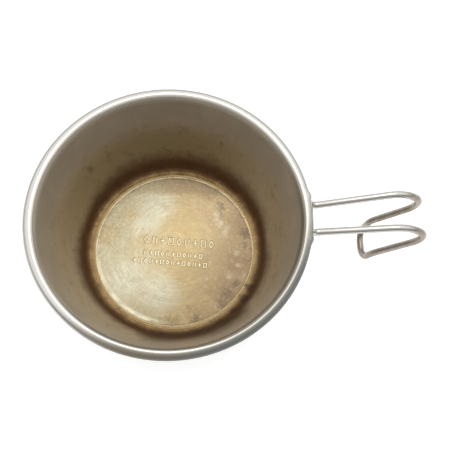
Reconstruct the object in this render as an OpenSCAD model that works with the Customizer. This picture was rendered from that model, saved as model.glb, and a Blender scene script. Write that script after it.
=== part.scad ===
// Wired-rim camping cup.
// A pressed sheet-metal bowl whose lip is rolled round a wire hoop. The same
// wire leaves the rim on one side and is bent into a two-legged hook handle.
// Millimetres, +Z up. The origin is on the bowl's axis, in the plane that the
// foot ring stands on. +X runs from the axis through the middle of the handle.

/* [Bowl] */
// Outer diameter over the rolled rim
rim_d = 120.6; // [112:0.2:130]
// Height of the rim wire's centre above the base plane
rim_z = 48.7; // [44:0.1:56]
// Thickness of the sheet
sheet_t = 0.7; // [0.5:0.05:0.8]
// Lean of the wall from the vertical, in degrees
wall_lean = 14; // [12:0.5:15]
// Inside radius between the wall and the foot channel
foot_r = 2.5; // [1.5:0.1:3]
// Angle round the wire's section at which the curled lip ends, in degrees
lip_end = -145; // [-146:1:-100]

/* [Floor] */
// Radius of the middle of the step round the raised disc
step_r = 39.8; // [30:0.1:40]
// Rise of the disc above the foot channel
step_h = 1.0; // [0.6:0.1:1.4]
// Mean bend radius of the step
step_bend_r = 1.0; // [0.8:0.1:1.2]

/* [Wire] */
// Diameter of the rim and handle wire
wire_d = 3.2; // [2.6:0.1:3.6]
// Clearance between the wire and the sheet rolled round it
wire_fit = 0.05; // [0.03:0.01:0.1]
// Gap between the wire's two ends, inside the rim opposite the handle
end_gap = 0.6; // [0.2:0.1:2]

/* [Handle] */
// Half of the rim angle over which the wire has left the rim, in degrees
exit_half = 11; // [10:0.5:12]
// Half of the rim angle over which the lip is cut open, in degrees
notch_half = 13; // [12.5:0.5:15]
// Bend points of one leg: x and y, and z from the rim wire's plane
dip = [61.5, 6.2, -4.7]; // [-10:0.1:70]
crest = [99.1, 7.7, 6.3]; // [0:0.1:110]
nose = [114.1, 8.1, -5]; // [-10:0.1:125]
knee = [95.8, 8.1, -29.3]; // [-35:0.1:110]
toe = [94, 6.9, -42.1]; // [-44:0.1:110]
// Bend radii at the rim exit and at those five points
exit_bend_r = 3.6; // [3:0.1:4]
dip_bend_r = 3.6; // [3:0.1:4]
crest_bend_r = 12.5; // [8:0.5:13]
nose_bend_r = 10.5; // [6:0.5:11]
knee_bend_r = 9.5; // [5:0.5:15]
toe_bend_r = 6; // [3:0.5:6]

/* [Hidden] */

// The rolled rim: radii inside and outside the curl, and the hoop's own radius
curl_ri = wire_d / 2 + wire_fit;
curl_ro = curl_ri + sheet_t;
hoop_r = rim_d / 2 - curl_ro;
rim_c = [hoop_r, rim_z];

// Distance from the axis, at height z, of a line along the wall that passes the rim
// wire's centre at distance off, on the side towards the axis
function wall_x(off, z) =
    hoop_r - (off - (z - rim_z) * sin(wall_lean)) / cos(wall_lean);

// Centre of the corner between the wall and the foot channel
corner_z = sheet_t + foot_r;
corner_c = [wall_x(curl_ro + foot_r, corner_z), corner_z];

// Rise of the lip notch's upper edge towards the outside
notch_rise = 1.4;

// The step is two equal bends of this angle, over this run
step_a = acos(1 - step_h / (2 * step_bend_r));
step_run = 2 * step_bend_r * sin(step_a);

// Bends of the sheet's middle surface, from the disc's edge to the lip: centre,
// radius, first and last angle, and 1 where the centre is outside the cup
sheet_bends = [
    [[step_r - step_run / 2, step_h + sheet_t / 2 - step_bend_r],
        step_bend_r, 90, 90 - step_a, 1],
    [[step_r + step_run / 2, sheet_t / 2 + step_bend_r],
        step_bend_r, -90 - step_a, -90, -1],
    [corner_c, foot_r + sheet_t / 2, -90, -wall_lean, -1],
    [rim_c, curl_ri + sheet_t / 2, 180 - wall_lean, lip_end, 1]
];

// Fineness of round shapes
arc_step = 12;
wire_fn = 32;
bowl_fn = 180;

// Balls of this diameter, a hair larger than the wire, join its lengths
join_d = wire_d + 0.06;

function reverse(list) = [for (i = [len(list) - 1 : -1 : 0]) list[i]];

// Bend points of the handle, from one end of the hoop to the other
exit_run = 3.4;
hoop_tangent = [sin(exit_half), -cos(exit_half), 0];
hoop_end = [hoop_r * cos(exit_half), hoop_r * sin(exit_half), 0];
leg_points = [hoop_end, hoop_end + exit_run * hoop_tangent, dip, crest, nose, knee, toe];
leg_bends = [
    exit_bend_r, dip_bend_r, crest_bend_r, nose_bend_r, knee_bend_r, toe_bend_r
];
handle_points = concat(leg_points, [for (p = reverse(leg_points)) [p.x, -p.y, p.z]]);
handle_bends = concat(leg_bends, reverse(leg_bends));

function unit(v) = v / norm(v);

// Turn at point i of the path p, and the straight length that the bend takes up
function turn(p, i) =
    acos(unit(p[i] - p[i - 1]) * unit(p[i + 1] - p[i]));
function take_up(p, r, i) =
    i == 0 || i == len(p) - 1 ? 0 : r[i - 1] * tan(turn(p, i) / 2);

// Points along an arc about c, about one every arc_step degrees
function arc(c, r, a0, a1) =
    let (n = ceil(abs(a1 - a0) / arc_step))
    [for (i = [0 : n]) let (a = a0 + (a1 - a0) * i / n) c + r * [cos(a), sin(a)]];

// One face of the sheet from the disc to the lip: +1 the cup's inside, -1 its outside
function face(side) =
    [for (b = sheet_bends) each arc(b[0], b[1] + side * b[4] * sheet_t / 2, b[2], b[3])];

// Half section of the bowl: floor disc, step, foot channel, wall and curled lip
module bowl_section() {
    polygon(concat(
        [[0, step_h + sheet_t]],
        face(1),
        reverse(face(-1)),
        [[0, step_h]]
    ));
}

// The space cut from the lip where the wire leaves the rim: all of its lower half,
// and more on the outer side. It goes a hair into the wall, to leave no sliver.
module lip_notch() {
    reach = 2 * curl_ro;
    top = rim_z + sheet_t / 2;
    bottom = rim_z - reach;
    wall_side = curl_ri + 0.03;
    rotate([0, 0, -notch_half])
        rotate_extrude(angle = 2 * notch_half, $fn = bowl_fn)
            polygon([
                [wall_x(wall_side, top), top],
                [wall_x(wall_side, bottom), bottom],
                [hoop_r + reach, bottom],
                [hoop_r + reach, top + notch_rise]
            ]);
}

// A straight length of wire between two points, with the joining balls at its ends
module rod(a, b) {
    v = b - a;
    translate(a)
        rotate([0, acos(v.z / norm(v)), atan2(v.y, v.x)]) {
            cylinder(d = wire_d, h = norm(v), $fn = wire_fn);
            sphere(d = join_d, $fn = wire_fn);
            translate([0, 0, norm(v)]) sphere(d = join_d, $fn = wire_fn);
        }
}

// A bend of radius r at point i of the path p
module bend(p, r, i) {
    u = unit(p[i] - p[i - 1]);
    w = unit(p[i + 1] - p[i]);
    n = unit(w - u * (u * w));
    c = p[i] - u * take_up(p, r, i) + n * r[i - 1];
    z = cross(-n, u);
    multmatrix([
        [-n.x, u.x, z.x, c.x],
        [-n.y, u.y, z.y, c.y],
        [-n.z, u.z, z.z, c.z],
        [0, 0, 0, 1]
    ])
        rotate_extrude(angle = turn(p, i), $fn = bowl_fn)
            translate([r[i - 1], 0]) circle(d = wire_d, $fn = wire_fn);
}

// Wire through the points p, bent to the radii r at those between the ends
module bent_wire(p, r) {
    for (i = [1 : len(p) - 1]) {
        u = unit(p[i] - p[i - 1]);
        rod(p[i - 1] + u * take_up(p, r, i - 1), p[i] - u * take_up(p, r, i));
    }
    for (i = [1 : len(p) - 2]) bend(p, r, i);
}

// Half of the hoop inside the rim, from the handle to the wire's end
module half_hoop() {
    gap_a = asin(end_gap / 2 / hoop_r);
    rotate([0, 0, exit_half])
        rotate_extrude(angle = 180 - exit_half - gap_a, $fn = bowl_fn)
            translate([hoop_r, 0]) circle(d = wire_d, $fn = wire_fn);
}

// Bowl pressed from one sheet, its lip rolled outwards round the wire
module cup_body() {
    color("silver") difference() {
        rotate_extrude($fn = bowl_fn) bowl_section();
        lip_notch();
    }
}

// One wire: the hoop inside the rim and the two-legged hook handle
module rim_wire_handle() {
    color("lightgray") translate([0, 0, rim_z]) {
        half_hoop();
        mirror([0, 1, 0]) half_hoop();
        bent_wire(handle_points, handle_bends);
    }
}

cup_body();
rim_wire_handle();
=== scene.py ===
import math

import bmesh
import bpy
import numpy as np
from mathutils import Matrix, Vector


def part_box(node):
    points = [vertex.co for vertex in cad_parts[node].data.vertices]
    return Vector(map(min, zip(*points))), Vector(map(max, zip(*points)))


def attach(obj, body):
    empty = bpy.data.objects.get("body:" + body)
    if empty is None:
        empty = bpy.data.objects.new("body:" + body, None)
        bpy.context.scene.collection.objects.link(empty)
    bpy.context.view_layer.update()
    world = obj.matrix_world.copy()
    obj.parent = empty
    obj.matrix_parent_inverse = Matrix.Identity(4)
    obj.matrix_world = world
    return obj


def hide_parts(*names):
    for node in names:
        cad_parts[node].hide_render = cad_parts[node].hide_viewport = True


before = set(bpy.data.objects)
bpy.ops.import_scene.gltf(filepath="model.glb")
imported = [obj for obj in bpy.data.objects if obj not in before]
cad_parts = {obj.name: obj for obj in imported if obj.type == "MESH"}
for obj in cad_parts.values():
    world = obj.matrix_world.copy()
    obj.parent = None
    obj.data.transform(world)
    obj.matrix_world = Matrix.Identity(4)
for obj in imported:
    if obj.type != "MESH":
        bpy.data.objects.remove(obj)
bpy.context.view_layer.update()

MM = 0.001

# ---------------------------------------------------------------- dimensions
# The bowl and the wire repeat the driving dimensions of the CAD part, in metres. The rim's
# radius is measured across y, because its lip is cut away on the +x side.
cup_lo, cup_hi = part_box("cup_body")
SHEET = 0.7 * MM
WIRE_R = 1.6 * MM
CURL_RI = WIRE_R + 0.05 * MM
CURL_RO = CURL_RI + SHEET
HOOP_R = (cup_hi.y - cup_lo.y) / 2 - CURL_RO
RIM_Z = cup_hi.z - CURL_RO
WALL_LEAN = math.radians(14)
FOOT_R = 2.5 * MM
STEP_R, STEP_H, STEP_BEND = 39.8 * MM, 1.0 * MM, 1.0 * MM
LIP_END = math.radians(-145)

# The lip is open over this half angle of the rim, where the wire leaves it
NOTCH_HALF = math.radians(11.5)
NOTCH_FADE = math.radians(2.0)
NOTCH_LIP_END = math.radians(4)
# Where the wire's exit bends push the bead out, and by how much
SWELL_AT = math.radians(9.4)
SWELL_TURN = math.radians(-1.2)
SWELL_WIDTH = math.radians(1.8)
SWELL = 0.75 * MM
SWELL_BETWEEN = 0.3

# The bead's section is fuller than round here, at its inner upper corner
CORNER_AT = math.radians(132)
CORNER_HALF = math.radians(42)
CORNER = 0.26 * MM

# Bend points of one leg (x, y, and z from the wire's plane in the rim) and radii
HOOP_OPEN = math.radians(11)
EXIT_RUN, EXIT_BEND = 3.4 * MM, 3.6 * MM
LEG_POINTS = [
    (61.5, 6.2, -4.7),
    (99.1, 7.7, 6.3),
    (114.1, 8.1, -5.0),
    (95.8, 8.1, -29.3),
    (94.0, 6.9, -42.1),
]
LEG_BENDS = [3.6 * MM, 12.5 * MM, 10.5 * MM, 9.5 * MM, 6 * MM]
END_GAP = 0.6 * MM

# Stamped marks on the floor disc: a tilted block of rows of plain shapes
MARKS_AT = Vector((-0.3, -1.8)) * MM
MARKS_TILT = math.radians(-5)
MARKS_HALF = (21 * MM, 10 * MM)
MARK_ROWS = [
    # across, up, shapes, spacing, height of a shape
    (1.9 * MM, 5.0 * MM, 9, 4.1 * MM, 4.3 * MM),
    (-0.4 * MM, -1.8 * MM, 11, 2.75 * MM, 3.1 * MM),
    (-1.6 * MM, -6.2 * MM, 14, 2.7 * MM, 3.1 * MM),
]
MARK_NARROW = 0.65
MARK_HALF_WIDTH = 0.46 * MM
MARK_RISE = 0.16 * MM
SHAPES = ("diamond", "bars", "cross", "box")

# Fineness of the meshes: the bowl's sections are closer together near the handle, and
# inside the disc's edge the floor is a grid of small cells
FINE_HALF = math.radians(18)
FINE_SLICES, PLAIN_SLICES = 96, 260
DISC_EDGE = 25 * MM
MARK_CELL = 0.2 * MM
FLAT_POINTS, STEP_POINTS, FOOT_POINTS, WALL_POINTS, CURL_POINTS, LIP_POINTS = 9, 7, 12, 30, 64, 9
HOOP_POINTS, WIRE_SIDES = 110, 32
LEG_TURN, LEG_STRETCH = math.radians(6), 3 * MM


# ---------------------------------------------------------------- mesh helpers
def new_object(name, bm, materials):
    """An object at the origin from a bmesh, smooth shaded, riding on the only body."""
    bmesh.ops.recalc_face_normals(bm, faces=bm.faces)
    for face in bm.faces:
        face.smooth = True
    mesh = bpy.data.meshes.new(name)
    bm.to_mesh(mesh)
    bm.free()
    obj = bpy.data.objects.new(name, mesh)
    bpy.context.scene.collection.objects.link(obj)
    for material in materials:
        mesh.materials.append(material)
    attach(obj, "root")
    return obj


def arc(centre, radius, start, end, count):
    """Points along an arc in the profile plane, both ends included."""
    angles = np.linspace(start, end, count)
    return np.column_stack([
        centre[0] + radius * np.cos(angles),
        centre[1] + radius * np.sin(angles),
    ])


def smooth(x):
    x = np.clip(x, 0, 1)
    return x * x * (3 - 2 * x)


# ---------------------------------------------------------------- the bowl
def wall_x(offset, z):
    """Distance from the axis of a line along the wall, offset from the rim wire's centre."""
    return HOOP_R - (offset - (z - RIM_Z) * math.sin(WALL_LEAN)) / math.cos(WALL_LEAN)


def face_profile(side, lip_end):
    """One face of the sheet from DISC_EDGE to the lip: side 1 is the cup's inside."""
    half = side * SHEET / 2
    step_a = math.acos(1 - STEP_H / (2 * STEP_BEND))
    step_run = 2 * STEP_BEND * math.sin(step_a)
    step_in, step_out = STEP_R - step_run / 2, STEP_R + step_run / 2
    corner_z = SHEET + FOOT_R
    corner = (wall_x(CURL_RO + FOOT_R, corner_z), corner_z)
    quarter, rim = math.pi / 2, (HOOP_R, RIM_Z)
    disc_z = STEP_H + SHEET / 2 + half
    flat = [(r, disc_z) for r in np.linspace(DISC_EDGE, step_in, FLAT_POINTS)[:-1]]
    rise = arc((step_in, STEP_H + SHEET / 2 - STEP_BEND), STEP_BEND + half,
               quarter, quarter - step_a, STEP_POINTS)
    foot = arc((step_out, SHEET / 2 + STEP_BEND), STEP_BEND - half,
               -quarter - step_a, -quarter, STEP_POINTS)
    turn = arc(corner, FOOT_R + SHEET / 2 - half, -quarter, -WALL_LEAN, FOOT_POINTS)
    curl = arc(rim, CURL_RI + SHEET / 2 + half, math.pi - WALL_LEAN, lip_end, CURL_POINTS)
    wall = np.linspace(turn[-1], curl[0], WALL_POINTS)[1:-1]
    return np.vstack([flat, rise, foot[1:], turn, wall, curl])


def lip_end_at(angle):
    """Where the curled lip ends round the wire: it is cut back at the handle."""
    shut = smooth((abs(angle) - NOTCH_HALF) / NOTCH_FADE)
    return NOTCH_LIP_END + (LIP_END - NOTCH_LIP_END) * shut


def shape_bead(points, angle):
    """Fills out the bead's inner upper corner. Pushes its outer side out over the two bends
    where the wire leaves it, and less between them."""
    away = points - np.array([HOOP_R, RIM_Z])
    dist = np.linalg.norm(away, axis=1)
    # The curl's outer radius and a hair more, so that all of the curl is in
    in_bead = dist < CURL_RO * 1.05
    off = (np.arctan2(away[:, 1], away[:, 0]) - CORNER_AT) / CORNER_HALF
    fuller = CORNER * np.cos(np.clip(off, -1, 1) * math.pi / 2) ** 2 * in_bead
    points += away * (fuller / dist)[:, None]
    outer_side = smooth((away[:, 0] / dist + 0.35) / 1.2)
    beyond = (abs(angle - SWELL_TURN) - SWELL_AT) / SWELL_WIDTH
    at_bend = math.exp(-(beyond ** 2))
    between = SWELL_BETWEEN * (1 - smooth(beyond))
    points[:, 0] += SWELL * max(at_bend, between) * outer_side * in_bead
    return points


def slice_profile(angle):
    """Section at one angle (inside face, rounded lip, outside face), and the number of its
    points on the inside."""
    end = lip_end_at(angle)
    inside = face_profile(1, end)
    outside = face_profile(-1, end)[::-1]
    mid = (inside[-1] + outside[0]) / 2
    radial = math.atan2(*(inside[-1] - mid)[::-1])
    cap = arc(mid, SHEET / 2, radial, radial - math.pi, LIP_POINTS)[1:-1]
    return shape_bead(np.vstack([inside, cap, outside]), angle), len(inside) + len(cap) // 2


def stroke_distance(shape, x, y, half):
    """Distance from the strokes of a plain shape that is half high above its middle."""
    wide, dx, dy = half * MARK_NARROW, abs(x), abs(y)
    if shape == "diamond":
        return abs(dx / wide + dy / half - 1) * wide * half / math.hypot(wide, half)
    if shape == "bars":
        return np.hypot(dx - wide * 0.8, np.maximum(dy - half, 0))
    if shape == "cross":
        return np.minimum(np.hypot(dx, np.maximum(dy - half, 0)),
                          np.hypot(dy, np.maximum(dx - wide, 0)))
    return abs(np.maximum(dx - wide, dy - half))


def mark_height(x, y):
    """Height of the stamped marks over the disc, at places in the block's own axes."""
    height = np.zeros_like(x)
    for row, (across, up, count, spacing, tall) in enumerate(MARK_ROWS):
        for i in range(count):
            at_x = x - across - (i - (count - 1) / 2) * spacing
            shape = SHAPES[(i + row) % len(SHAPES)]
            away = stroke_distance(shape, at_x, y - up, tall / 2 - MARK_HALF_WIDTH)
            height = np.maximum(height, MARK_RISE * smooth(1 - away / MARK_HALF_WIDTH))
    return height


def marks_patch(bm, z, ring):
    """A fine rectangular grid with the stamped marks, joined to a ring of the disc."""
    counts = [round(2 * half / MARK_CELL) + 1 for half in MARKS_HALF]
    xs, ys = (np.linspace(-half, half, n) for half, n in zip(MARKS_HALF, counts))
    gx, gy = np.meshgrid(xs, ys, indexing="ij")
    heights = mark_height(gx, gy)
    c, s = math.cos(MARKS_TILT), math.sin(MARKS_TILT)
    px, py = MARKS_AT.x + c * gx - s * gy, MARKS_AT.y + s * gx + c * gy
    grid = [[bm.verts.new((px[i, j], py[i, j], z + heights[i, j]))
             for j in range(counts[1])] for i in range(counts[0])]
    for i in range(counts[0] - 1):
        for j in range(counts[1] - 1):
            bm.faces.new((grid[i][j], grid[i + 1][j], grid[i + 1][j + 1], grid[i][j + 1]))
    last_i, last_j = counts[0] - 1, counts[1] - 1
    border = [grid[i][0] for i in range(last_i)] + [grid[last_i][j] for j in range(last_j)]
    border += [grid[i][last_j] for i in range(last_i, 0, -1)]
    border += [grid[0][j] for j in range(last_j, 0, -1)]
    edges = [bm.edges.get((border[k - 1], border[k])) for k in range(len(border))]
    edges += [bm.edges.get((ring[k - 1], ring[k])) for k in range(len(ring))]
    bmesh.ops.triangle_fill(bm, use_beauty=True, edges=edges)


def bowl_angles():
    """Angles of the bowl's sections: closer together where the handle leaves."""
    return np.concatenate([
        np.linspace(-FINE_HALF, FINE_HALF, FINE_SLICES, endpoint=False),
        np.linspace(FINE_HALF, 2 * math.pi - FINE_HALF, PLAIN_SLICES, endpoint=False),
    ])


def make_bowl(inside_material, outside_material):
    """The sheet from the disc to the lip as sections round the axis, and the disc's two
    faces as grids with the marks."""
    bm = bmesh.new()
    rows = []
    for angle in bowl_angles():
        signed = (angle + math.pi) % (2 * math.pi) - math.pi
        profile, split = slice_profile(signed)
        c, s = math.cos(angle), math.sin(angle)
        rows.append([bm.verts.new((r * c, r * s, z)) for r, z in profile])
    for k, row in enumerate(rows):
        previous = rows[k - 1]
        for i in range(len(row) - 1):
            face = bm.faces.new((previous[i], row[i], row[i + 1], previous[i + 1]))
            face.material_index = 0 if i < split else 1
    marks_patch(bm, STEP_H + SHEET, [row[0] for row in rows])
    before = set(bm.faces)
    marks_patch(bm, STEP_H, [row[-1] for row in rows])
    for face in set(bm.faces) - before:
        face.material_index = 1
    bowl = new_object("cup_bowl", bm, [inside_material, outside_material])
    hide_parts("cup_body")


# ---------------------------------------------------------------- the wire
def filleted(points, radii, step):
    """Points along a path through the given ones, with round bends of those radii."""
    path = [points[0]]
    for before, at, after, radius in zip(points, points[1:], points[2:], radii):
        u, w = (at - before).normalized(), (after - at).normalized()
        turn = u.angle(w)
        start = at - u * radius * math.tan(turn / 2)
        n = (w - u * u.dot(w)).normalized()
        centre = start + n * radius
        count = max(4, math.ceil(turn / step))
        for k in range(count + 1):
            a = turn * k / count
            path.append(centre - n * radius * math.cos(a) + u * radius * math.sin(a))
    path.append(points[-1])
    return path


def subdivided(path, longest):
    """The same path with points added, so that no stretch is longer than that."""
    out = [path[0]]
    for a, b in zip(path, path[1:]):
        count = max(1, math.ceil((b - a).length / longest))
        out += [a.lerp(b, k / count) for k in range(1, count + 1)]
    return out


def half_wire_path():
    """The wire's centreline from its end in the rim to the middle of the cross piece."""
    gap = math.asin(END_GAP / 2 / HOOP_R)
    hoop_angles = np.linspace(math.pi - gap, HOOP_OPEN, HOOP_POINTS)
    hoop = [Vector((HOOP_R * math.cos(a), HOOP_R * math.sin(a), 0)) for a in hoop_angles]
    tangent = Vector((math.sin(HOOP_OPEN), -math.cos(HOOP_OPEN), 0))
    leg = [Vector(p) * MM for p in LEG_POINTS]
    points = [hoop[-1], hoop[-1] + tangent * EXIT_RUN, *leg, Vector((leg[-1].x, 0, leg[-1].z))]
    bent = filleted(points, [EXIT_BEND, *LEG_BENDS], LEG_TURN)
    return hoop[:-1] + subdivided(bent, LEG_STRETCH)


def wire_path():
    half = half_wire_path()
    other = [Vector((p.x, -p.y, p.z)) for p in reversed(half[:-1])]
    return [p + Vector((0, 0, RIM_Z)) for p in half + other]


def sweep(bm, path, radius, sides):
    """A round tube along the path, its frame carried along without twist, ends closed."""
    tangents = [(b - a).normalized() for a, b in zip(path, path[1:])]
    tangents = [tangents[0]] + [
        (a + b).normalized() for a, b in zip(tangents, tangents[1:])
    ] + [tangents[-1]]
    across = Vector((0, 0, 1))
    rings = []
    for point, t in zip(path, tangents):
        across = (across - t * t.dot(across)).normalized()
        other = t.cross(across)
        rings.append([
            bm.verts.new(point + radius * (math.cos(a) * across + math.sin(a) * other))
            for a in np.linspace(0, 2 * math.pi, sides, endpoint=False)
        ])
    for a, b in zip(rings, rings[1:]):
        for k in range(sides):
            bm.faces.new((a[k - 1], a[k], b[k], b[k - 1]))
    bm.faces.new(rings[0])
    bm.faces.new(rings[-1])


def make_wire(material):
    bm = bmesh.new()
    sweep(bm, wire_path(), WIRE_R, WIRE_SIDES)
    wire = new_object("handle_wire", bm, [material])
    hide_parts("rim_wire_handle")


# ---------------------------------------------------------------- materials
# In the materials, heights and distances from the bowl's axis are in millimetres.
# Angles are in degrees round the axis, from the middle of the handle.
HOOP_MM, RIM_Z_MM, STEP_MM = HOOP_R / MM, RIM_Z / MM, STEP_R / MM
DISC_TOP_MM = (STEP_H + SHEET) / MM
CAMERA_SIDE = 290

# Stains: (angle, distance from the axis, radius)
PALE_PATCHES = [(112, 24, 14), (250, 24, 15), (215, 28, 14), (140, 20, 9)]
GOLD_PATCHES = [(75, 14, 13), (300, 12, 13), (5, 3, 9), (170, 36, 8)]
BROWN_PATCHES = [(318, 35, 13), (292, 37, 11), (20, 37, 10), (60, 36, 9), (345, 33, 9),
                 (268, 38, 6)]
CHARRED_SPOTS = [(44, 32.5, 3.4), (39, 29.5, 2.2), (12, 36.5, 4.0), (317, 35.5, 4.4),
                 (309, 37, 3.4), (286, 37.5, 3.2), (328, 36, 3.0), (2, 35, 2.0)]
PALE_FLECK_SPOTS = [(29, 26, 2.4), (22, 28.5, 2.0), (17, 26.5, 2.2), (355, 31.5, 1.6),
                (344, 33, 1.5), (40, 28, 2.2), (36, 26, 2.0), (158, 21, 3.4),
                (150, 23, 2.6), (252, 26, 1.2), (330, 31, 1.6)]
SOOT_PATCHES = [(331, 42.5, 3.0), (322, 43, 3.6), (312, 43.5, 2.8)]
WALL_SPOTS = [(142, 51.5, 2.6), (50, 52, 2.0), (63, 51, 1.6), (95, 52.5, 2.2)]

# Colours of the floor disc
CREAM, GOLD, PINKISH = (0.31, 0.278, 0.185), (0.29, 0.225, 0.12), (0.235, 0.172, 0.105)
PALE, DEEP_GOLD, BROWN = (0.37, 0.36, 0.285), (0.285, 0.21, 0.10), (0.155, 0.10, 0.06)
# Olive and brown of the far wall's painted reflection in the disc
FAR_REFLECTION_OLIVE, FAR_REFLECTION_BROWN = (0.25, 0.215, 0.135), (0.18, 0.13, 0.08)
CHARRED, PALE_FLECK = (0.075, 0.06, 0.05), (0.46, 0.43, 0.34)
MOTTLE_DARK, GRAIN_DARK = (0.20, 0.15, 0.075), (0.18, 0.135, 0.075)
GRAIN_LIGHT, LINE_DARK = (0.44, 0.40, 0.30), (0.16, 0.125, 0.07)
# Of these, the first is painted shade and the last a painted highlight on the marks' tops
DISC_SHADE, PALE_EDGE, MARK_TOP_HIGHLIGHT = (0.02, 0.01, 0.0), (0.53, 0.49, 0.375), (0.62, 0.54, 0.36)

# Colours of the wall
WALL_DIM, WALL_BRIGHT, WALL_TAN = (0.43, 0.365, 0.28), (0.50, 0.425, 0.33), (0.50, 0.395, 0.25)
WALL_OLIVE, WALL_PATCH, WALL_SPOT = (0.34, 0.255, 0.125), (0.24, 0.18, 0.085), (0.12, 0.09, 0.04)
BURNT, TALL_BURNT = (0.085, 0.034, 0.010), (0.05, 0.019, 0.006)
BURNT_STREAK, SPECK = (0.13, 0.05, 0.018), (0.06, 0.035, 0.018)

# Colours of the step and the channel
CHANNEL_GOLD, CHANNEL_BROWN = (0.28, 0.185, 0.075), (0.19, 0.118, 0.044)
CHANNEL_SHADE, SOOT = (0.02, 0.01, 0.004), (0.06, 0.03, 0.012)
# Painted light down the middle of the step's slope, and a painted highlight on its crest
SLOPE, SLOPE_MIDDLE_PAINTED_LIGHT, CREST_HIGHLIGHT = (0.62, 0.45, 0.20), (0.95, 0.72, 0.36), (1.0, 0.86, 0.56)

# Colours of the bead, of the bowl's outside and of the wire
# The bead's two dark greys are a painted dark reflection; on its inner side the light colour is
# painted light and the darkest one painted shadow
BARE, DARK_REFLECTION_LEFT, DARK_REFLECTION_RIGHT = (0.47, 0.455, 0.425), (0.185, 0.16, 0.12), (0.154, 0.154, 0.139)
INNER, INNER_FAR_PAINTED_LIGHT, INNER_NEAR_PAINTED_SHADOW = (0.46, 0.43, 0.375), (0.74, 0.70, 0.62), (0.20, 0.18, 0.145)
OUTSIDE_DIM, OUTSIDE_BRIGHT = (0.36, 0.345, 0.315), (0.44, 0.425, 0.395)
SMOKE, FOOT_SOOT = (0.21, 0.15, 0.085), (0.09, 0.06, 0.035)
WIRE_DIM, WIRE_BRIGHT, WIRE_STAIN = (0.45, 0.435, 0.405), (0.53, 0.515, 0.48), (0.25, 0.21, 0.165)


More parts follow.
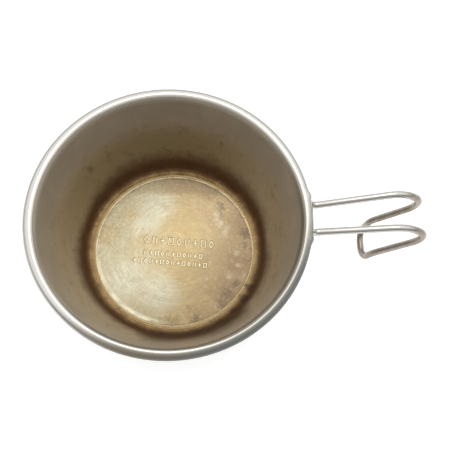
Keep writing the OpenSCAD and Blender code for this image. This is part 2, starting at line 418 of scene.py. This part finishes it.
class Shade:
    """Short calls for a material's nodes. A value may be a number or a socket."""

    def __init__(self, name):
        self.material = bpy.data.materials.new(name)
        self.material.use_nodes = True
        self.tree = self.material.node_tree
        self.bsdf = self.tree.nodes["Principled BSDF"]
        coords = self.tree.nodes.new("ShaderNodeTexCoord")
        # Object coordinates in millimetres, and the distance from the bowl's axis
        self.place = self.vector("SCALE", coords.outputs["Object"], scale=1000)
        split = self.tree.nodes.new("ShaderNodeSeparateXYZ")
        self.link(self.place, split.inputs[0])
        self.x, self.y, self.z = split.outputs
        self.flat = self.combine(self.x, self.y, 0.0)
        self.r = self.vector("LENGTH", self.flat)

    def link(self, value, socket):
        if isinstance(value, bpy.types.NodeSocket):
            self.tree.links.new(value, socket)
        elif isinstance(value, (tuple, list)) and socket.type == "RGBA":
            socket.default_value = (*value, 1)
        else:
            socket.default_value = value

    # Plain values and vectors
    def math(self, operation, a, b=None):
        node = self.tree.nodes.new("ShaderNodeMath")
        node.operation = operation
        self.link(a, node.inputs[0])
        if b is not None:
            self.link(b, node.inputs[1])
        return node.outputs[0]

    def chain(self, operation, values):
        total = values[0]
        for value in values[1:]:
            total = self.math(operation, total, value)
        return total

    def plus(self, *values):
        return self.chain("ADD", values)

    def product(self, *values):
        return self.chain("MULTIPLY", values)

    def highest(self, *values):
        return self.chain("MAXIMUM", values)

    def minus(self, a, b):
        return self.math("SUBTRACT", a, b)

    def vector(self, operation, a, b=None, scale=None):
        node = self.tree.nodes.new("ShaderNodeVectorMath")
        node.operation = operation
        self.link(a, node.inputs[0])
        if b is not None:
            self.link(b, node.inputs[1])
        if scale is not None:
            self.link(scale, node.inputs["Scale"])
        return node.outputs["Value" if operation in ("LENGTH", "DISTANCE", "DOT_PRODUCT") else 0]

    def combine(self, x, y, z):
        node = self.tree.nodes.new("ShaderNodeCombineXYZ")
        for value, socket in zip((x, y, z), node.inputs):
            self.link(value, socket)
        return node.outputs[0]

    def noise(self, place, scale, detail=3, rough=0.55, distortion=0):
        node = self.tree.nodes.new("ShaderNodeTexNoise")
        self.link(place, node.inputs["Vector"])
        self.link(scale, node.inputs["Scale"])
        self.link(detail, node.inputs["Detail"])
        self.link(rough, node.inputs["Roughness"])
        self.link(distortion, node.inputs["Distortion"])
        return node.outputs["Fac"]

    def centred(self, noise, reach):
        """A noise of 0 to 1 as a value about 0."""
        return self.product(self.minus(noise, 0.5), reach)

    # Masks
    def ramp(self, value, low, high, at_low=0.0, at_high=1.0):
        """at_low on the low side, at_high beyond high, and a smooth step between them."""
        node = self.tree.nodes.new("ShaderNodeMapRange")
        node.interpolation_type = "SMOOTHSTEP"
        self.link(value, node.inputs["Value"])
        for name, v in (("From Min", low), ("From Max", high),
                        ("To Min", at_low), ("To Max", at_high)):
            self.link(v, node.inputs[name])
        return node.outputs["Result"]

    def band(self, value, centre, width, fade):
        """1 within width / 2 of the centre, fading to 0 beyond it."""
        away = self.math("ABSOLUTE", self.minus(value, centre))
        return self.ramp(away, width / 2, width / 2 + fade, 1, 0)

    def facing(self, degrees):
        """1 on the side of the axis at that angle, 0 at right angles to it, -1 opposite."""
        a = math.radians(degrees)
        side = self.vector("DOT_PRODUCT", self.flat, (math.cos(a), math.sin(a), 0))
        return self.math("DIVIDE", side, self.highest(self.r, 0.1))

    def spots(self, places, ragged):
        """1 in the middle of each round spot (angle, distance from the axis, radius)."""
        total = 0.0
        for degrees, distance, radius in places:
            a = math.radians(degrees)
            centre = (distance * math.cos(a), distance * math.sin(a), 0)
            away = self.plus(self.vector("DISTANCE", self.flat, centre), ragged)
            total = self.highest(total, self.ramp(away, radius * 0.3, radius, 1, 0))
        return total

    # Mixes
    def mix(self, factor, a, b):
        node = self.tree.nodes.new("ShaderNodeMix")
        node.data_type = "RGBA"
        self.link(factor, node.inputs["Factor"])
        self.link(a, node.inputs[6])
        self.link(b, node.inputs[7])
        return node.outputs[2]

    def stain(self, colour, mask, strength, tint):
        """The colour with that much of the tint where the mask is 1."""
        return self.mix(self.product(mask, strength), colour, tint)

    def blend(self, factor, a, b):
        """Mixes two plain values."""
        node = self.tree.nodes.new("ShaderNodeMix")
        self.link(factor, node.inputs["Factor"])
        self.link(a, node.inputs["A"])
        self.link(b, node.inputs["B"])
        return node.outputs["Result"]

    def bump(self, height, distance, strength):
        node = self.tree.nodes.new("ShaderNodeBump")
        self.link(height, node.inputs["Height"])
        node.inputs["Distance"].default_value = distance
        node.inputs["Strength"].default_value = strength
        return node.outputs[0]

    def set(self, **sockets):
        names = {"color": "Base Color", "metal": "Metallic", "rough": "Roughness",
                 "normal": "Normal"}
        for key, value in sockets.items():
            self.link(value, self.bsdf.inputs[names[key]])
        return self.material


def spun_lines(s, fineness):
    """Fine lines round the axis, as spinning leaves them: long round it, thin across."""
    around = s.vector("SCALE", s.vector("NORMALIZE", s.flat), scale=1.5)
    across = s.combine(0.0, 0.0, s.product(s.plus(s.r, s.z), fineness))
    return s.noise(s.vector("ADD", around, across), 1.0, 4, 0.7)


def disc_colour(s, clouds, mottle, grain, fine, lines):
    """The floor disc: cream on one side, gold in the middle, pinkish brown on the other."""
    sideways = s.plus(s.x, s.centred(clouds, 80), s.centred(mottle, 34))
    colour = s.mix(s.ramp(sideways, -30, 2), CREAM, GOLD)
    colour = s.mix(s.ramp(sideways, 6, 26), colour, PINKISH)
    ragged = s.plus(s.centred(mottle, 16), s.centred(grain, 10))
    colour = s.stain(colour, s.spots(PALE_PATCHES, ragged), 0.7, PALE)
    colour = s.stain(colour, s.spots(GOLD_PATCHES, ragged), 0.55, DEEP_GOLD)
    colour = s.stain(colour, s.spots(BROWN_PATCHES, ragged), 0.6, BROWN)

    # A painted reflection of the far wall: a brown crescent along the edge opposite the camera
    far_wall_reflection = s.ramp(s.plus(s.y, s.centred(mottle, 3)), 28, 31)
    colour = s.stain(colour, far_wall_reflection, 0.8, s.mix(s.ramp(s.x, -16, 6), FAR_REFLECTION_OLIVE, FAR_REFLECTION_BROWN))

    # Clusters of small spots, dark ones and pale flecks
    ragged = s.plus(s.centred(grain, 8), s.centred(fine, 5))
    colour = s.stain(colour, s.spots(CHARRED_SPOTS, ragged), 0.75, CHARRED)
    colour = s.stain(colour, s.spots(PALE_FLECK_SPOTS, ragged), 0.42, PALE_FLECK)

    # Mottling, and the spun lines round the axis
    colour = s.mix(s.ramp(mottle, 0.34, 0.5, 0.3, 0), colour, MOTTLE_DARK)
    colour = s.mix(s.ramp(grain, 0.36, 0.56, 0.35, 0), colour, GRAIN_DARK)
    colour = s.mix(s.ramp(grain, 0.52, 0.68, 0, 0.3), colour, GRAIN_LIGHT)
    colour = s.mix(s.ramp(lines, 0.38, 0.60, 0.28, 0), colour, LINE_DARK)

    # Shade painted to the right of the camera, and paler along the edge to its left
    near_right = s.ramp(s.product(s.facing(305), s.r), -10, 28, 0, 0.36)
    colour = s.mix(near_right, colour, DISC_SHADE)
    pale_edge = s.product(s.band(s.r, STEP_MM - 1.0, 0.5, 2.0), s.ramp(s.facing(218), 0.55, 1),
                     s.ramp(mottle, 0.3, 0.6, 0.35, 1))
    colour = s.stain(colour, pale_edge, 0.75, PALE_EDGE)

    # A painted highlight on the tops of the stamped marks
    marks = s.product(s.ramp(s.z, DISC_TOP_MM + 0.02, DISC_TOP_MM + 0.14), s.ramp(s.r, 24, 23))
    return s.stain(colour, marks, 0.8, MARK_TOP_HIGHLIGHT)


def wall_colour(s, clouds, mottle, streaks):
    """The wall: warm grey above, olive half way down and burnt brown low down."""
    colour = s.mix(s.ramp(clouds, 0.35, 0.65), WALL_DIM, WALL_BRIGHT)
    colour = s.stain(colour, s.ramp(s.z, 42, 24), 0.8, WALL_TAN)
    olive = s.product(s.ramp(s.facing(112), 0.1, 0.9), s.ramp(s.z, 38, 24))
    colour = s.stain(colour, olive, 0.7, WALL_OLIVE)
    patches = s.product(s.ramp(mottle, 0.52, 0.66), s.ramp(s.z, 42, 30))
    colour = s.stain(colour, patches, 0.4, WALL_PATCH)
    spots = s.product(s.spots(WALL_SPOTS, s.centred(mottle, 5)), s.band(s.z, 26, 2, 3))
    colour = s.stain(colour, spots, 0.7, WALL_SPOT)

    # How high the burnt zone reaches, all round: a tall patch on the camera's side
    tall_patch = s.ramp(s.facing(283), 0.80, 0.94)
    reach = s.plus(
        7.0,
        s.product(s.ramp(s.facing(80), -0.1, 0.8), 6.0),
        s.product(s.ramp(s.facing(225), 0.4, 0.9), 6.0),
        s.product(s.ramp(s.facing(318), 0.7, 0.95), 8.0),
        s.product(tall_patch, 19.0),
        s.centred(mottle, 6),
        s.centred(streaks, s.blend(tall_patch, 4.0, 12.0)),
    )
    height = s.math("DIVIDE", s.minus(s.z, 2.0), s.highest(reach, 2.0))
    burnt = s.ramp(height, 0.3, 1.4, 1, 0)
    char = s.mix(tall_patch, BURNT, TALL_BURNT)
    char = s.mix(s.ramp(streaks, 0.5, 0.72, 0, 0.5), char, BURNT_STREAK)
    return s.stain(colour, burnt, 0.96, char), burnt


def ring_colour(s, floor, wall, mottle, grain):
    """Step and channel round the disc, gold on their way to the burnt foot of the wall."""
    channel = s.mix(s.ramp(mottle, 0.35, 0.7), CHANNEL_GOLD, CHANNEL_BROWN)
    channel = s.mix(s.ramp(s.facing(CAMERA_SIDE), 0.2, 1, 0, 0.4), channel, CHANNEL_SHADE)
    colour = s.mix(s.ramp(s.r, STEP_MM - 0.8, STEP_MM - 0.2), floor, channel)
    on_step = s.band(s.r, STEP_MM + 0.15, 1.1, 0.3)
    # The step's slope, with painted light down its middle
    slope_with_painted_light = s.mix(s.band(s.r, STEP_MM, 0.5, 0.3), SLOPE, SLOPE_MIDDLE_PAINTED_LIGHT)
    colour = s.mix(on_step, colour, slope_with_painted_light)
    spread = s.plus(s.r, s.plus(s.centred(mottle, 4.0), s.centred(grain, 2.5)))
    colour = s.mix(s.ramp(spread, 40.6, 44.8), colour, wall)

    # Soot in the grain of the channel, and thicker in a few patches
    soot = s.product(s.ramp(spread, 39.8, 41.5), s.ramp(grain, 0.38, 0.54, 0.45, 0.0),
                     s.ramp(s.r, 46, 43))
    thick = s.product(s.spots(SOOT_PATCHES, s.centred(grain, 5)), 0.9)
    colour = s.mix(s.highest(soot, thick), colour, SOOT)

    # A painted highlight along the step's crest, further down it on the camera's side
    side = s.facing(CAMERA_SIDE)
    shift = s.plus(s.product(side, 0.65), s.product(s.math("ABSOLUTE", side), 0.2))
    crest_highlight = s.product(s.band(s.minus(s.r, shift), STEP_MM - 0.65, 0.28, 0.3),
                      s.ramp(mottle, 0.3, 0.6, 0.4, 1))
    return s.stain(colour, crest_highlight, 0.95, CREST_HIGHLIGHT), on_step, crest_highlight


def bead_colour(s):
    """Bare metal on the rolled rim, with a painted dark reflection over its outer half on the
    camera's side; on its inner side painted light opposite the camera and painted shadow towards
    it."""
    # Painted dark reflection over the bead's outer half, on the camera's side
    dark_reflection_zone = s.product(s.ramp(s.facing(295), 0.25, 0.8),
                       s.ramp(s.r, HOOP_MM - 1.18, HOOP_MM + 0.12))
    inset = s.ramp(s.facing(335), 0.45, 0.85, 0, 0.5)
    inner = s.ramp(s.minus(s.r, inset), HOOP_MM - 0.78, HOOP_MM - 1.68)
    dark_reflection = s.mix(s.ramp(s.x, -20, 25), DARK_REFLECTION_LEFT, DARK_REFLECTION_RIGHT)
    # Inner side: painted light opposite the camera, painted shadow towards it
    inner_light_and_shade = s.mix(s.ramp(s.facing(110), -0.1, 0.6), INNER, INNER_FAR_PAINTED_LIGHT)
    inner_light_and_shade = s.mix(s.ramp(s.facing(300), 0.0, 0.6), inner_light_and_shade, INNER_NEAR_PAINTED_SHADOW)
    return s.mix(inner, s.mix(dark_reflection_zone, BARE, dark_reflection), inner_light_and_shade), dark_reflection_zone, inner


def steel_inside():
    """Heat-tinted, stained steel: golden on the floor, burnt at the foot, grey above."""
    s = Shade("steel_inside")
    clouds = s.noise(s.place, 0.05, 4, 0.6, 0.4)
    mottle = s.noise(s.place, 0.2, 5, 0.65, 0.6)
    grain = s.noise(s.place, 0.6, 4, 0.65, 0.8)
    fine = s.noise(s.place, 1.1, 3, 0.6, 1.2)
    lines = spun_lines(s, 1.6)
    streaks = s.noise(s.vector("MULTIPLY", s.place, (1.0, 1.0, 0.08)), 0.35, 3, 0.6)

    floor = disc_colour(s, clouds, mottle, grain, fine, lines)
    wall, burnt = wall_colour(s, clouds, mottle, streaks)
    colour, on_step, crest_highlight = ring_colour(s, floor, wall, mottle, grain)
    bare, dark_reflection_zone, inner = bead_colour(s)
    rim = s.ramp(s.z, RIM_Z_MM - 2.3, RIM_Z_MM + 0.5)
    colour = s.mix(rim, colour, bare)

    # Small dark specks, thickest near the foot
    near_foot = s.band(s.r, 41.0, 4.0, 9.0)
    specks = s.product(s.ramp(fine, 0.60, 0.70), s.blend(near_foot, 0.0, 0.75),
                       s.minus(1.0, rim))
    colour = s.mix(specks, colour, SPECK)

    on_wall = s.product(s.ramp(s.r, 40.6, 43.8), s.ramp(s.z, RIM_Z_MM + 0.7, RIM_Z_MM - 0.7))
    rough = s.plus(0.22, s.product(grain, 0.18))
    rough = s.blend(on_step, rough, 0.5)
    rough = s.blend(on_wall, rough, s.blend(burnt, 0.42, 0.62))
    rough = s.blend(rim, rough, s.blend(dark_reflection_zone, 0.16, 0.4))

    # How far a dull film hides the metal: on the wall, the step, the channel and the bead. On the
    # step and the bead it carries their painted light and shade
    film = s.highest(
        s.product(on_wall, s.blend(burnt, 0.45, 0.8)),
        s.product(s.highest(on_step, crest_highlight), 0.9),
        s.product(s.band(s.r, 41.2, 1.2, 0.8), 0.5),
        s.product(rim, s.highest(s.product(dark_reflection_zone, 0.6), s.product(inner, 0.55))),
    )
    height = s.plus(s.product(lines, 0.5), s.product(grain, 0.6), s.product(fine, 0.4))
    s.bsdf.inputs["Specular IOR Level"].default_value = 0.25
    return s.set(color=colour, metal=s.minus(1.0, film), rough=rough,
                 normal=s.bump(height, 0.04 * MM, 0.6))


def steel_outside():
    """The bowl's outside: spun steel, smoked low down, with soot round the foot."""
    s = Shade("steel_outside")
    clouds = s.noise(s.place, 0.045, 4, 0.6, 0.3)
    mottle = s.noise(s.place, 0.25, 4, 0.6, 0.5)
    colour = s.mix(clouds, OUTSIDE_DIM, OUTSIDE_BRIGHT)
    low = s.ramp(s.plus(s.z, s.centred(mottle, 12)), 1, 12, 1, 0)
    colour = s.stain(colour, low, 0.6, SMOKE)
    foot = s.product(s.ramp(s.r, 36, 41), s.ramp(s.z, 0.5, 3, 1, 0))
    colour = s.stain(colour, foot, s.ramp(mottle, 0.35, 0.6), FOOT_SOOT)
    return s.set(color=colour, metal=1.0, rough=s.plus(0.26, s.product(mottle, 0.16)),
                 normal=s.bump(spun_lines(s, 2.2), 0.02 * MM, 0.35))


def steel_wire():
    """Drawn wire, polished by handling, with brown stain left on the hook's return."""
    s = Shade("steel_wire")
    mottle = s.noise(s.place, 0.25, 3, 0.55, 0.4)
    fine = s.noise(s.place, 2.5, 3, 0.6)
    colour = s.mix(fine, WIRE_DIM, WIRE_BRIGHT)
    return_arms = s.ramp(s.plus(s.z, s.centred(mottle, 8)), 48, 40)
    hook = s.highest(return_arms, s.ramp(s.x, 98, 106))
    stain = s.product(s.ramp(mottle, 0.25, 0.6, 0.55, 1), hook)
    return s.set(color=s.stain(colour, stain, 0.9, WIRE_STAIN), metal=1.0,
                 rough=s.plus(0.2, s.product(stain, 0.14)),
                 normal=s.bump(fine, 0.02 * MM, 0.3))


def floor_paper():
    """Smooth white paper, lit through from below so that shadows on it stay faint."""
    s = Shade("floor_paper")
    grain = s.noise(s.place, 0.8, 2)
    s.bsdf.inputs["Emission Color"].default_value = (1, 1, 1, 1)
    s.bsdf.inputs["Emission Strength"].default_value = 0.5
    return s.set(color=s.mix(grain, (0.69, 0.69, 0.69), (0.72, 0.72, 0.72)), metal=0.0,
                 rough=0.9)


# ---------------------------------------------------------------- stage
FLOOR_SIZE = 6
LAMP_SIZE, LAMP_POWER = 0.55, 1.95
LAMP_AT = Vector((0.05, 0.25, 1.1))
# Strength of the room's light, by the height and by the depth of the direction it is from
ROOM_BY_HEIGHT = {"From Min": 0, "From Max": 0.8, "To Min": 0.55, "To Max": 1.62}
ROOM_BY_DEPTH = {"From Min": -0.55, "From Max": 0, "To Min": 0.42, "To Max": 1}
CAMERA_AT = Vector((10.24 * MM, -78.32 * MM, 205.27 * MM + RIM_Z))
CAMERA_TILT, CAMERA_SWING = math.radians(17.435), math.radians(-4.336)
LENS, SENSOR = 41.6, 36
SHIFT_X, SHIFT_Y = -0.0218, 0.0465


def make_floor():
    bpy.ops.mesh.primitive_plane_add(size=FLOOR_SIZE, location=(0, 0, 0))
    floor = bpy.context.object
    floor.name = "floor"
    floor.data.materials.append(floor_paper())


def make_lamp():
    """One large soft lamp, high over the cup and a little to the far side."""
    light = bpy.data.lights.new("overhead", "AREA")
    light.shape, light.size, light.energy = "DISK", LAMP_SIZE, LAMP_POWER
    lamp = bpy.data.objects.new("overhead", light)
    lamp.location = LAMP_AT
    lamp.rotation_euler = (-LAMP_AT).to_track_quat("-Z", "Y").to_euler()
    bpy.context.scene.collection.objects.link(lamp)


def make_surroundings():
    """A pale room, brighter overhead and darker on the side of the camera."""
    world = bpy.data.worlds.new("studio")
    world.use_nodes = True
    nodes, links = world.node_tree.nodes, world.node_tree.links
    coords = nodes.new("ShaderNodeTexCoord")
    split = nodes.new("ShaderNodeSeparateXYZ")
    links.new(coords.outputs["Generated"], split.inputs[0])

    def ramp(axis, limits):
        node = nodes.new("ShaderNodeMapRange")
        links.new(split.outputs[axis], node.inputs["Value"])
        for name, value in limits.items():
            node.inputs[name].default_value = value
        return node.outputs["Result"]

    strength = nodes.new("ShaderNodeMath")
    strength.operation = "MULTIPLY"
    links.new(ramp("Z", ROOM_BY_HEIGHT), strength.inputs[0])
    links.new(ramp("Y", ROOM_BY_DEPTH), strength.inputs[1])
    links.new(strength.outputs[0], nodes["Background"].inputs["Strength"])
    nodes["Background"].inputs["Color"].default_value = (1, 1, 1, 1)
    bpy.context.scene.world = world


def make_camera():
    """Looks down into the cup from close by, with the handle to its right."""
    data = bpy.data.cameras.new("camera")
    data.lens, data.sensor_width = LENS, SENSOR
    data.shift_x, data.shift_y = SHIFT_X, SHIFT_Y
    data.clip_start = 0.01
    camera = bpy.data.objects.new("camera", data)
    camera.location = CAMERA_AT
    camera.rotation_mode = "YXZ"
    camera.rotation_euler = (CAMERA_TILT, CAMERA_SWING, 0)
    bpy.context.scene.collection.objects.link(camera)
    bpy.context.scene.camera = camera


make_bowl(steel_inside(), steel_outside())
make_wire(steel_wire())
make_floor()
make_lamp()
make_surroundings()
make_camera()
bpy.context.scene.view_settings.view_transform = "Standard"
